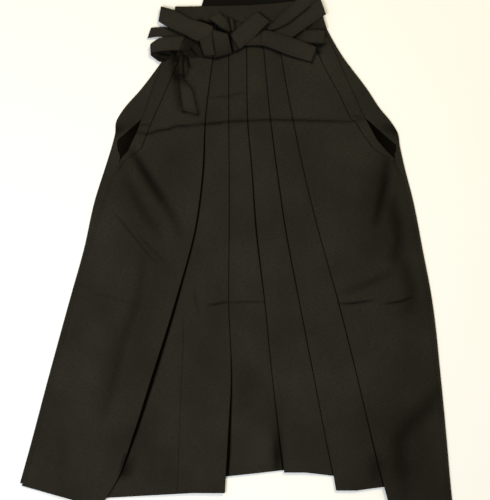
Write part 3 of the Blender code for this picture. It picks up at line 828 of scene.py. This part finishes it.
def addNode(tree, kind, links=None, **settings):
    # Adds a node, sets its properties, and fills its sockets with values or links.
    node = tree.nodes.new(kind)
    for name, value in settings.items():
        setattr(node, name, value)
    for socket, value in (links or {}).items():
        if isinstance(value, bpy.types.NodeSocket):
            tree.links.new(value, node.inputs[socket])
        else:
            node.inputs[socket].default_value = value
    return node


# Each finish has the cloth's own colour and its worn colour, and a near-black colour for painted shade.
clothFinish = {
    "plainWoven": {"cloth": "#23211c", "paintedShade": "#030200", "worn": "#2d2b25", "thread": 1.5, "bump": 0.25},
    "foldedTie": {"cloth": "#26241f", "paintedShade": "#030200", "worn": "#302d27", "thread": 1.5, "bump": 0.25},
    "boardCover": {"cloth": "#100f0d", "paintedShade": "#030200", "worn": "#151412", "thread": 1.2, "bump": 0.15},
}
# Slubs are thick places in the thread, about 2 to 7 mm long, clouds are areas of uneven fading about 0.1 m
# across, and handling leaves soft dents about 26 mm across. Depths are in metres.
weaveLook = {
    "slubs": (140.0, 430.0, 1.0),
    "clouds": 9.0,
    "handling": 38.0,
    "handlingDepth": 0.0018,
    "threadDepth": 0.0004,
    "wobble": 0.6,
    "wearFrom": 0.14,
    "wearTo": 0.42,
    "roughness": (0.78, 0.95),
    "specular": 0.02,
    "sheen": 0.012,
    "sheenRoughness": 0.5,
    "sheenTint": "#dccba4",
}


def wovenCloth(name, finish):
    # Plain-woven black wool and polyester: matt, faintly warm, with slubs along the thread and a low sheen.
    # The real thread is about 0.4 mm apart, drawn coarser so that it shows from a step away.
    material = bpy.data.materials.new(name)
    material.use_nodes = True
    tree = material.node_tree
    shader = tree.nodes["Principled BSDF"]
    place = addNode(tree, "ShaderNodeUVMap", uv_map="clothUV").outputs["UV"]
    solid = addNode(tree, "ShaderNodeTexCoord").outputs["Object"]
    turns = 2.0 / (finish["thread"] * garment["mm"] * math.tau)
    thread = {"Vector": place, "Scale": turns, "Distortion": weaveLook["wobble"], "Detail": 1.0}
    warp = addNode(tree, "ShaderNodeTexWave", thread, bands_direction="X").outputs["Fac"]
    weft = addNode(tree, "ShaderNodeTexWave", thread, bands_direction="Y").outputs["Fac"]
    weave = addNode(tree, "ShaderNodeMath", {0: warp, 1: weft}, operation="MULTIPLY").outputs["Value"]
    stretch = {"Vector": place, "Scale": weaveLook["slubs"]}
    stretched = addNode(tree, "ShaderNodeMapping", stretch).outputs["Vector"]
    noises = {
        "slubs": {"Vector": stretched, "Scale": 1.0, "Detail": 3.0},
        "clouds": {"Vector": solid, "Scale": weaveLook["clouds"], "Detail": 4.0},
        "handling": {"Vector": solid, "Scale": weaveLook["handling"], "Detail": 2.0},
    }
    noise = {}
    for key, links in noises.items():
        noise[key] = addNode(tree, "ShaderNodeTexNoise", links).outputs["Fac"]

    uneven = {0: noise["slubs"], 1: noise["clouds"]}
    wear = addNode(tree, "ShaderNodeMath", uneven, operation="MULTIPLY").outputs["Value"]
    wearRange = {"Value": wear, "From Min": weaveLook["wearFrom"], "From Max": weaveLook["wearTo"]}
    spread = addNode(tree, "ShaderNodeMapRange", wearRange).outputs["Result"]
    shades = {"Factor": spread, "A": hexColour(finish["cloth"]), "B": hexColour(finish["worn"])}
    unshaded = addNode(tree, "ShaderNodeMix", shades, data_type="RGBA").outputs["Result"]
    # Painted shade: a point attribute, 1 where the cloth shows its own colour and 0 where shade is painted,
    # mixes it towards the near-black colour.
    paintedLight = addNode(tree, "ShaderNodeAttribute", attribute_name="paintedLight").outputs["Fac"]
    paintedLightValues = {"Factor": paintedLight, "A": hexColour(finish["paintedShade"]), "B": unshaded}
    colour = addNode(tree, "ShaderNodeMix", paintedLightValues, data_type="RGBA").outputs["Result"]

    raised = {0: noise["slubs"], 1: weave}
    threads = addNode(tree, "ShaderNodeMath", raised, operation="ADD").outputs["Value"]
    dents = {"Height": noise["handling"], "Distance": weaveLook["handlingDepth"]}
    soft = addNode(tree, "ShaderNodeBump", dents).outputs["Normal"]
    relief = {
        "Height": threads,
        "Normal": soft,
        "Strength": finish["bump"],
        "Distance": weaveLook["threadDepth"],
    }
    fine = addNode(tree, "ShaderNodeBump", relief).outputs["Normal"]
    smoothest, roughest = weaveLook["roughness"]
    roughRange = {"Value": noise["slubs"], "To Min": smoothest, "To Max": roughest}
    rough = addNode(tree, "ShaderNodeMapRange", roughRange).outputs["Result"]
    tree.links.new(colour, shader.inputs["Base Color"])
    tree.links.new(fine, shader.inputs["Normal"])
    tree.links.new(rough, shader.inputs["Roughness"])
    shader.inputs["Specular IOR Level"].default_value = weaveLook["specular"]
    shader.inputs["Sheen Weight"].default_value = weaveLook["sheen"]
    shader.inputs["Sheen Roughness"].default_value = weaveLook["sheenRoughness"]
    shader.inputs["Sheen Tint"].default_value = hexColour(weaveLook["sheenTint"])
    return material


materials = {name: wovenCloth(name, finish) for name, finish in clothFinish.items()}
print("finishes made:", ", ".join(materials))


def pieceFrom(shape, name, material):
    # Turns a finished bmesh into an object of that name, with one material.
    mesh = bpy.data.meshes.new(name)
    shape.to_mesh(mesh)
    shape.free()
    mesh.materials.append(material)
    piece = bpy.data.objects.new(name, mesh)
    bpy.context.scene.collection.objects.link(piece)
    return piece


def layCloth(mesh, cloth, paintedLight):
    # Writes each point's place on the unfolded cloth, in metres, as the UV map, and how much of its colour
    # is left under painted shade.
    corners = np.empty(len(mesh.loops), np.int32)
    mesh.loops.foreach_get("vertex_index", corners)
    spots = np.asarray(cloth, np.float32)[corners].ravel()
    mesh.uv_layers.new(name="clothUV").data.foreach_set("uv", spots)
    paintedLightValues = mesh.attributes.new("paintedLight", "FLOAT", "POINT")
    paintedLightValues.data.foreach_set("value", np.asarray(paintedLight, np.float32))
    mesh.shade_smooth()


def sortFaces(shape):
    # An extrusion leaves its faces in another order each run, so they are sorted by their corners.
    shape.verts.index_update()
    count = len(shape.verts)

    def rank(face):
        corners = [vertex.index for vertex in face.verts]
        return min(corners) * count + max(corners)

    shape.faces.sort(key=rank)


wallShape = {"leastMitre": 0.5, "sharpFrom": 38.0}


def makeWall(name, points, thick, material, outside=0, hiddenColumns=0):
    # One closed wall round a grid of middle points. Outside is the side of the wall (1 or -1) that keeps
    # the cloth's own colour, without painted shade, over the hidden columns, whatever shade is painted on
    # their inside.
    middle = points[..., :3]
    rows, columns = middle.shape[:2]
    steps = np.diff(middle, axis=1)
    stepLengths = np.linalg.norm(steps, axis=2)
    steps /= stepLengths[..., None]
    before = np.concatenate([steps[:, :1], steps], axis=1)
    after = np.concatenate([steps, steps[:, -1:]], axis=1)
    across = before + after
    across /= np.linalg.norm(across, axis=2, keepdims=True)
    mitre = np.sum(across * after, axis=2, keepdims=True)
    along = np.gradient(middle, axis=0)
    normal = np.cross(across, along)
    normal /= np.linalg.norm(normal, axis=2, keepdims=True)
    half = np.broadcast_to(thick, (rows, columns))[..., None] / 2
    offset = normal * half / np.maximum(mitre, wallShape["leastMitre"])
    unfolded = np.concatenate([np.zeros((rows, 1)), np.cumsum(stepLengths, axis=1)], axis=1)
    unfolded -= unfolded[:, columns // 2 : columns // 2 + 1]
    rowLengths = np.linalg.norm(np.diff(middle[:, columns // 2], axis=0), axis=1)
    down = np.concatenate([[0.0], np.cumsum(rowLengths)])

    shape = bmesh.new()
    bmesh.ops.create_grid(shape, x_segments=columns - 1, y_segments=rows - 1, size=1.0)
    copied = bmesh.ops.extrude_face_region(shape, geom=shape.faces[:], use_keep_orig=True)
    second = {item for item in copied["geom"] if isinstance(item, bmesh.types.BMVert)}
    flat = np.array([vertex.co[:2] for vertex in shape.verts])
    column = np.rint((flat[:, 0] + 1) / 2 * (columns - 1)).astype(int)
    row = np.rint((flat[:, 1] + 1) / 2 * (rows - 1)).astype(int)
    way = np.array([1.0 if vertex in second else -1.0 for vertex in shape.verts])
    placed = middle[row, column] + way[:, None] * offset[row, column]
    for vertex, (x, drop, height) in zip(shape.verts, placed * garment["mm"]):
        vertex.co = (x, garment["waistToMiddle"] * garment["mm"] - drop, height)
    bmesh.ops.recalc_face_normals(shape, faces=shape.faces[:])
    if shape.calc_volume(signed=True) < 0:
        bmesh.ops.reverse_faces(shape, faces=shape.faces[:])
    sortFaces(shape)
    piece = pieceFrom(shape, name, material)
    cloth = np.stack([unfolded[row, column], down[row]], axis=1) * garment["mm"]
    unshaded = (way == outside) & (column <= hiddenColumns)
    layCloth(piece.data, cloth, np.where(unshaded, 1.0, points[row, column, 3]))
    piece.data.set_sharp_from_angle(angle=math.radians(wallShape["sharpFrom"]))
    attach(piece, "root")
    return piece


def declareCloth(node):
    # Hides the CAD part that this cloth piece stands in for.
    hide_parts(node)


drops = rowDrops()
woven = materials["plainWoven"]
for side in ("left", "right"):
    sections = np.array([backSection(nominal, side) for nominal in drops])
    backName = f"back{side.capitalize()}Cloth"
    outside = 1 if side == "left" else -1
    hiddenColumns = sections.shape[1] - backShape["turnedColumns"]
    backPiece = makeWall(backName, sections, garment["cloth"], woven, outside, hiddenColumns)
    declareCloth(f"back_{side}")

outerColumns = sum(edgeShape["steps"])
frontSections = {"left": frontLeftSection, "right": frontRightSection}
for side, sectionOf in frontSections.items():
    sections = np.array([sectionOf(nominal) for nominal in drops])
    sections = dressFront(sections, outerColumns)
    frontName = f"front{side.capitalize()}Cloth"
    shadeContacts(sections, frontName)
    frontPiece = makeWall(frontName, sections, garment["cloth"], woven)
    declareCloth(f"front_{side}")
print("legs laid")


edgeThinning = 0.85


def roundedEdges(count, thick, edge):
    # Thickness across a flat folded strip, which thins to a rounded fold at both edges.
    place = np.abs(np.linspace(-1.0, 1.0, count))
    past = np.clip((place - edge) / (1.0 - edge), 0.0, 1.0)
    return thick * np.sqrt(1.0 - edgeThinning * past**2)


def makeBand():
    columns, rows = bandShape["columns"], bandShape["rows"]
    stops = np.linspace(bandRows[0]["across"], bandRows[-1]["across"], columns)
    points = np.empty((rows, columns, 4))
    for index, share in enumerate(np.linspace(0.0, 1.0, rows)):
        for column, x in enumerate(stops):
            points[index, column] = (x, bandTop(x) + share * bandShape["width"], bandShape["height"], 1.0)
    points[..., 2] += seat(points[..., 0])
    # The whole band is drawn a little darker than the legs.
    points[..., 3] *= bandShape["paintedLight"]
    shadeContacts(points, "frontBandCloth")
    thick = roundedEdges(rows, bandShape["thick"], bandShape["edge"])[:, None]
    piece = makeWall("frontBandCloth", points, thick, woven)
    declareCloth("front_band")


boardShape = {"thick": 3.0, "endEdge": 0.93, "sideEdge": 0.97, "rows": 41, "columns": 81}
boardRows = rowsOf("drop middle half", [
    (-88, 52, 92),
    (-60, 52, 102),
    (-28, 52, 113),
    (3, 52, 122),
])


def makeBoard():
    middle = smoothColumn(boardRows, "drop", "middle")
    half = smoothColumn(boardRows, "drop", "half")
    rows, columns = boardShape["rows"], boardShape["columns"]
    points = np.empty((rows, columns, 4))
    for index, drop in enumerate(np.linspace(boardRows[0]["drop"], boardRows[-1]["drop"], rows)):
        for column, share in enumerate(np.linspace(-1.0, 1.0, columns)):
            points[index, column] = (middle(drop) + share * half(drop), drop, boardShape["thick"] / 2, 1.0)
    endThick = roundedEdges(rows, boardShape["thick"], boardShape["endEdge"])[:, None]
    sideThick = roundedEdges(columns, boardShape["thick"], boardShape["sideEdge"])[None, :]
    thick = np.minimum(endThick, sideThick)
    piece = makeWall("backBoardCover", points, thick, materials["boardCover"])
    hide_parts("back_board")


makeBand()
makeBoard()
print("band and board made")

# Each stretch of tie that shows: rows along it give its two edges as across, drop and height.
# The values given for some ties say how much of the cloth's colour each of those rows keeps under the shade
# painted for the bow.
tieShape = {"thick": 1.6, "steps": 16, "across": 17, "edge": 0.86, "foldTone": 0.5, "pressedTone": 0.88}
ties = {
    "tieLeftEnd": {"node": "tie_left_end", "rows": [
        ((-170, 43, 3.4), (-177, 64, 3.4)),
        ((-139, 43, 6.2), (-146, 62, 6.2)),
        ((-92, 54, 8.4), (-98, 74, 8.4)),
    ], "paintedLightValues": [0.86, 0.86, 0.6]},
    "tieLeftLoop": {"node": "tie_left_loop", "rows": [
        ((-78, 70, 10.6), (-98, 94, 10.6)),
        ((-98, 62, 10.6), (-107, 90, 10.6)),
        ((-108, 61, 10.6), (-114, 89, 10.6)),
        ((-148, 64, 10.4), (-148, 91, 10.2)),
        ((-166, 73, 9.2), (-166, 94, 9.0)),
        ((-171, 78, 6.8), (-170, 98, 6.6)),
        ((-166, 82, 4.4), (-164, 104, 4.2)),
        ((-148, 88, 5.6), (-150, 112, 5.6)),
        ((-130, 88, 6.6), (-132, 105, 6.6)),
    ], "paintedLightValues": [0.3, 0.4, 0.95, 1.0, 0.95, 0.62, 0.48, 0.32, 0.3]},
    "tieLeftOver": {"node": "tie_left_over", "rows": [
        ((-150, 1, 7.0), (-155, 31, 5.6)),
        ((-121, 10, 10.4), (-136, 43, 10.4)),
        ((-92, 27, 12.6), (-105, 57, 12.8)),
        ((-66, 34, 12.6), (-77, 71, 12.8)),
        ((-46, 42, 12.2), (-50, 64, 12.4)),
    ]},
    "tieShadedFold": {"node": "tie_shaded_fold", "rows": [
        ((-104, 80, 8.4), (-90, 104, 7.6)),
        ((-74, 72, 8.6), (-62, 101, 8.2)),
    ], "paintedLightValues": [0.3, 0.55]},
    "tieHangingEnd": {"node": "tie_hanging_end", "rows": [
        ((-112, 90, 6.7), (-96, 104, 6.7)),
        ((-115, 116, 6.7), (-95, 120, 8.4)),
        ((-115, 133, 7.0), (-97, 137, 9.4)),
        ((-114, 147, 9.0), (-103, 149, 7.4)),
        ((-111, 168, 7.2), (-89, 166, 7.4)),
        ((-108, 188, 6.9), (-83, 190, 7.6)),
        ((-104, 209, 7.0), (-77, 215, 7.7)),
    ], "paintedLightValues": [0.2, 0.6, 0.6, 0.35, 0.9, 0.95, 0.95]},
    "tieKnotUnder": {"node": "tie_knot_under", "rows": [
        ((-46, 62, 8.4), (-42, 92, 8.4)),
        ((-14, 56, 8.8), (-10, 92, 8.6)),
        ((14, 54, 8.6), (8, 86, 8.4)),
    ], "paintedLightValues": [0.8, 0.8, 0.85]},
    "tieKnotGather": {"node": "tie_knot_gather", "rows": [
        ((-28, 19, 8.6), (-18, 52, 8.8)),
        ((-22, 21, 10.0), (-14, 52, 9.8)),
        ((-16, 22, 8.6), (-10, 52, 8.8)),
        ((-10, 24, 10.0), (-6, 51, 9.8)),
        ((-4, 27, 8.6), (-1, 50, 8.8)),
        ((6, 32, 9.6), (4, 48, 9.4)),
        ((14, 34, 8.6), (12, 46, 8.6)),
    ], "paintedLightValues": [0.2, 1.0, 0.15, 0.95, 0.2, 0.8, 0.4]},
    "tieKnotSide": {"node": "tie_knot_side", "rows": [
        ((-73, 70, 14.6), (-47, 55, 14.6)),
        ((-69, 84, 14.8), (-45, 78, 14.8)),
        ((-64, 98, 14.2), (-41, 96, 14.2)),
        ((-63, 101, 12.4), (-40, 99, 12.4)),
    ], "paintedLightValues": [0.8, 0.9, 0.84, 0.45]},
    "tieKnotWrap": {"node": "tie_knot_wrap", "rows": [
        ((-47, 49, 15.0), (-16, 58, 15.0)),
        ((-47, 56, 16.6), (-15, 64, 16.6)),
        ((-44, 78, 17.2), (-12, 77, 17.2)),
        ((-40, 100, 16.4), (-9, 91, 16.4)),
        ((-39, 104, 14.6), (-8, 95, 14.6)),
        ((-39, 105, 12.0), (-8, 96, 12.0)),
    ], "paintedLightValues": [0.7, 0.92, 0.84, 0.66, 0.45, 0.3]},
    "tieUpperLoop": {"node": "tie_upper_loop", "rows": [
        ((-11, 47, 14.0), (-14, 54, 14.0)),
        ((-18, 32, 15.0), (-31, 44, 15.0)),
        ((-30, 17, 14.6), (-52, 29, 14.4)),
        ((-33, 16, 12.0), (-55, 28, 12.0)),
        ((-32, 18, 9.6), (-52, 30, 9.6)),
        ((-32, 28, 9.4), (-44, 40, 9.4)),
    ], "paintedLightValues": [0.5, 0.9, 1.0, 0.7, 0.1, 0.0]},
    "tieRightLoop": {"node": "tie_right_loop", "rows": [
        ((-11, 59, 14.4), (8, 88, 14.4)),
        ((14, 36, 14.8), (36, 64, 14.8)),
        ((37, 17, 14.4), (63, 37, 14.4)),
        ((41, 14, 12.4), (67, 34, 12.4)),
        ((37, 18, 10.2), (63, 38, 10.2)),
        ((22, 32, 10.0), (42, 56, 10.0)),
    ]},
    "tieFreeEnd": {"node": "tie_free_end", "rows": [
        ((28, 62, 12.4), (16, 80, 12.2)),
        ((53, 50, 12.4), (51, 80, 12.0)),
        ((80, 54, 12.4), (68, 85, 11.6)),
        ((120, 67, 11.3), (108, 100, 9.8)),
        ((160, 82, 8.0), (149, 112, 7.2)),
    ], "paintedLightValues": [0.92, 0.9, 0.9, 0.92, 0.95]},
    "tieRightUpper": {"node": "tie_right_upper", "rows": [
        ((56, 37, 12.4), (58, 46, 12.4)),
        ((72, 36, 12.4), (73, 49, 12.4)),
        ((85, 22, 12.4), (104, 35, 12.4)),
        ((120, -11, 11.6), (148, 0, 11.4)),
        ((134, -26, 10.8), (170, -19, 10.4)),
    ], "paintedLightValues": [0.5, 0.9, 0.94, 0.92, 0.88]},
    "tieRightLower": {"node": "tie_right_lower", "rows": [
        ((166, -22, 8.4), (180, 17, 7.8)),
        ((126, 12, 9.6), (142, 43, 9.4)),
        ((94, 36, 9.6), (112, 64, 9.4)),
        ((68, 54, 9.8), (84, 80, 9.6)),
    ], "paintedLightValues": [0.92, 0.93, 0.93, 0.93]},
    "tieRightUnder": {"node": "tie_right_under", "rows": [
        ((140, 32, 6.9), (140, 46, 6.9)),
        ((174, 21, 5.4), (182, 46, 5.4)),
    ], "paintedLightValues": [0.4, 0.75]},
    "tieRightEnd": {"node": "tie_right_end", "rows": [
        ((104, 54, 7.0), (104, 72, 7.0)),
        ((141, 49, 7.2), (136, 73, 7.2)),
        ((178, 48, 6.8), (176, 75, 6.6)),
    ], "paintedLightValues": [0.2, 0.8, 0.9]},
}


def tieGrid(rows, paintedLightValues):
    # Sections along a tie on a smooth curve through its rows, with the points across each one.
    ends = np.array(rows, float).reshape(len(rows), 6)
    curves = []
    for part in range(6):
        column = [{"at": at, "value": value} for at, value in enumerate(ends[:, part])]
        curves.append(smoothColumn(column, "at", "value"))
    count = (len(rows) - 1) * tieShape["steps"] + 1
    grid = np.empty((count, tieShape["across"], 4))
    for index in range(count):
        edges = np.array([curve(index / tieShape["steps"]) for curve in curves]).reshape(2, 3)
        paintedLight = np.interp(index / tieShape["steps"], range(len(paintedLightValues)), paintedLightValues)
        for column, share in enumerate(np.linspace(0.0, 1.0, tieShape["across"])):
            grid[index, column] = (*(edges[0] + (edges[1] - edges[0]) * share), paintedLight)
    # Each tie's folded edges, and a line beside each, are painted in shade.
    grid[:, [0, -1], 3] *= tieShape["foldTone"]
    grid[:, [2, -3], 3] *= tieShape["pressedTone"]
    return grid


for tieName, tie in ties.items():
    grid = tieGrid(tie["rows"], tie.get("paintedLightValues", [1.0] * len(tie["rows"])))
    thick = roundedEdges(tieShape["across"], tieShape["thick"], tieShape["edge"])[None, :]
    shadeContacts(grid, tieName)
    tiePiece = makeWall(tieName, grid, thick, materials["foldedTie"])
    declareCloth(tie["node"])
print("bow laid:", len(ties), "stretches of tie")

# The bar of thread that holds the foot of each slit.
tacks = rowsOf("name node across drop turn", [
    ("tackLeft", "front_left", -236.0, 318.0, 26.0),
    ("tackRight", "front_right", 310.0, 305.5, -8.0),
])
tackShape = {"long": 11.0, "wide": 1.8, "thick": 0.9, "height": 3.3, "bevel": 0.4, "segments": 2}


def makeTack(tack):
    shape = bmesh.new()
    bmesh.ops.create_cube(shape, size=1.0)
    size = (tackShape["long"], tackShape["wide"], tackShape["thick"])
    bmesh.ops.scale(shape, verts=shape.verts[:], vec=[part * garment["mm"] for part in size])
    rounding = {"offset": tackShape["bevel"] * garment["mm"], "segments": tackShape["segments"]}
    bmesh.ops.bevel(shape, geom=shape.edges[:], affect="EDGES", profile=0.5, **rounding)
    turned = Matrix.Rotation(math.radians(tack["turn"]), 3, "Z")
    bmesh.ops.rotate(shape, verts=shape.verts[:], matrix=turned)
    place = (tack["across"], garment["waistToMiddle"] - tack["drop"], tackShape["height"])
    bmesh.ops.translate(shape, verts=shape.verts[:], vec=[part * garment["mm"] for part in place])
    piece = pieceFrom(shape, tack["name"], materials["foldedTie"])
    spots = [vertex.co[:2] for vertex in piece.data.vertices]
    layCloth(piece.data, spots, np.ones(len(spots)))
    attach(piece, "root")
    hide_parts(tack["node"])


for tack in tacks:
    makeTack(tack)
print("slits tacked")

# The floor reaches far, so that it still fills a low view, and lies just under the cloth.
stage = {
    "size": 80.0,
    "drop": -0.0004,
    "floor": "#fdfdfa",
    "roughness": 0.9,
    "specular": 0.1,
    "far": "#fbfaf6",
    "farStrength": 0.44,
}


def makeFloor():
    shape = bmesh.new()
    bmesh.ops.create_grid(shape, x_segments=1, y_segments=1, size=stage["size"] / 2)
    bmesh.ops.translate(shape, verts=shape.verts[:], vec=(0.0, 0.0, stage["drop"]))
    material = bpy.data.materials.new("paleFloorPaint")
    material.use_nodes = True
    shader = material.node_tree.nodes["Principled BSDF"]
    shader.inputs["Base Color"].default_value = hexColour(stage["floor"])
    shader.inputs["Roughness"].default_value = stage["roughness"]
    shader.inputs["Specular IOR Level"].default_value = stage["specular"]
    floor = pieceFrom(shape, "paleFloor", material)


# A warm lamp at the upper right and a weak cool one at the lower left, in metres and watts.
lamps = rowsOf("name place size power colour", [
    ("keyLamp", (2.2, 3.3, 4.0), 1.45, 141.0, "#ffe9b0"),
    ("roomLamp", (-0.8, -0.5, 1.7), 0.9, 20.5, "#eef5ff"),
])


def makeLight():
    for lamp in lamps:
        light = bpy.data.lights.new(lamp["name"], "AREA")
        light.size = lamp["size"]
        light.energy = lamp["power"]
        light.color = hexColour(lamp["colour"])[:3]
        holder = bpy.data.objects.new(lamp["name"], light)
        holder.location = lamp["place"]
        holder.rotation_mode = "QUATERNION"
        holder.rotation_quaternion = (-holder.location).to_track_quat("-Z", "Y")
        holder.visible_camera = False
        bpy.context.scene.collection.objects.link(holder)
    world = bpy.data.worlds.new("softRoom")
    world.use_nodes = True
    sky = world.node_tree.nodes["Background"]
    sky.inputs["Color"].default_value = hexColour(stage["far"])
    sky.inputs["Strength"].default_value = stage["farStrength"]
    bpy.context.scene.world = world


# The photo is 490 by 500 pixels at 2 mm a pixel, taken from straight above. The scale holds at the height
# of the legs' upper cloth.
photo = {
    "pixelMm": 2.0,
    "width": 490,
    "height": 500,
    "waistX": 236.0,
    "waistY": 6.0,
    "lens": 85.0,
    "sensor": 36.0,
    "clothHeight": 5.0,
}


def makeCamera():
    lens = bpy.data.cameras.new("photoCamera")
    lens.lens = photo["lens"]
    lens.sensor_width = photo["sensor"]
    camera = bpy.data.objects.new("photoCamera", lens)
    x = (photo["width"] / 2 - photo["waistX"]) * photo["pixelMm"]
    y = garment["waistToMiddle"] - (photo["height"] / 2 - photo["waistY"]) * photo["pixelMm"]
    high = photo["height"] * photo["pixelMm"] * photo["lens"] / photo["sensor"] + photo["clothHeight"]
    camera.location = (x * garment["mm"], y * garment["mm"], high * garment["mm"])
    bpy.context.scene.collection.objects.link(camera)
    bpy.context.scene.camera = camera


makeFloor()
makeLight()
makeCamera()
bpy.context.scene.view_settings.view_transform = "Standard"
print("stage, light and camera set")
